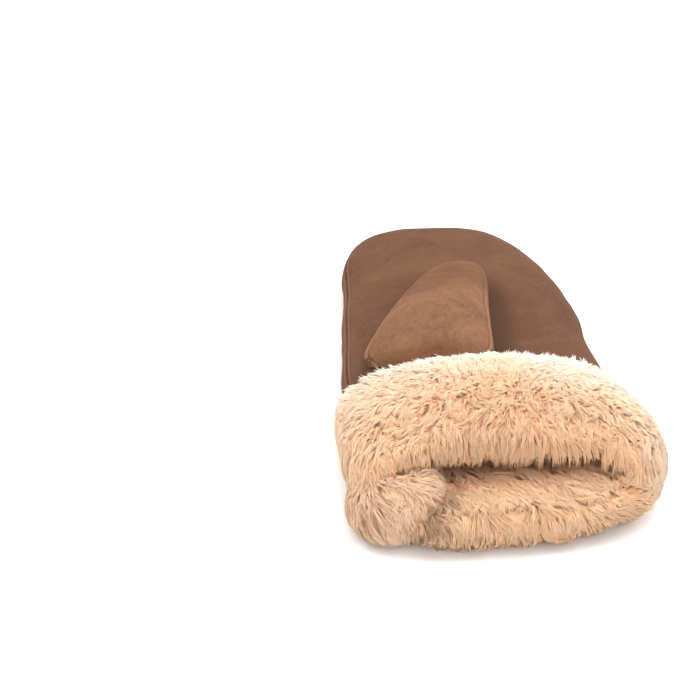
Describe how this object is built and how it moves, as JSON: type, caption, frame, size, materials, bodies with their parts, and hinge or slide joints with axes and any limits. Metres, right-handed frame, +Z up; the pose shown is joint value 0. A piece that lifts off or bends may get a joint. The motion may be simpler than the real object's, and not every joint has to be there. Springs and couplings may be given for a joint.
{
  "type": "leather mitten",
  "caption": "Left-hand suede mitten lying palm up, its thumb folded over the palm, with a deep fur cuff turned back over the wrist and a fur lining in the mouth.",
  "frame": {"origin": "bottom centre of the bounding box, on the surface that the mitten lies on", "axes": "+Y from the cuff towards the fingertip, +X across the hand with the thumb side at -X, +Z up out of the palm"},
  "size_m": [0.1498, 0.2546, 0.0554],
  "materials": {
    "palm_panel": "brown suede, napped and matt",
    "back_panel": "brown suede, napped and matt",
    "thumb_outer": "brown suede with a lighter nap",
    "thumb_inner": "brown suede with a lighter nap",
    "fur_cuff": "deep apricot pile with pale tips",
    "fur_lining": "short apricot pile"
  },
  "bodies": {
    "root": {"palm_panel": "palm_panel", "back_panel": "back_panel", "thumb_outer": "thumb_outer", "thumb_inner": "thumb_inner", "fur_cuff": "fur_cuff", "fur_lining": "fur_lining"}
  },
  "joints": []
}
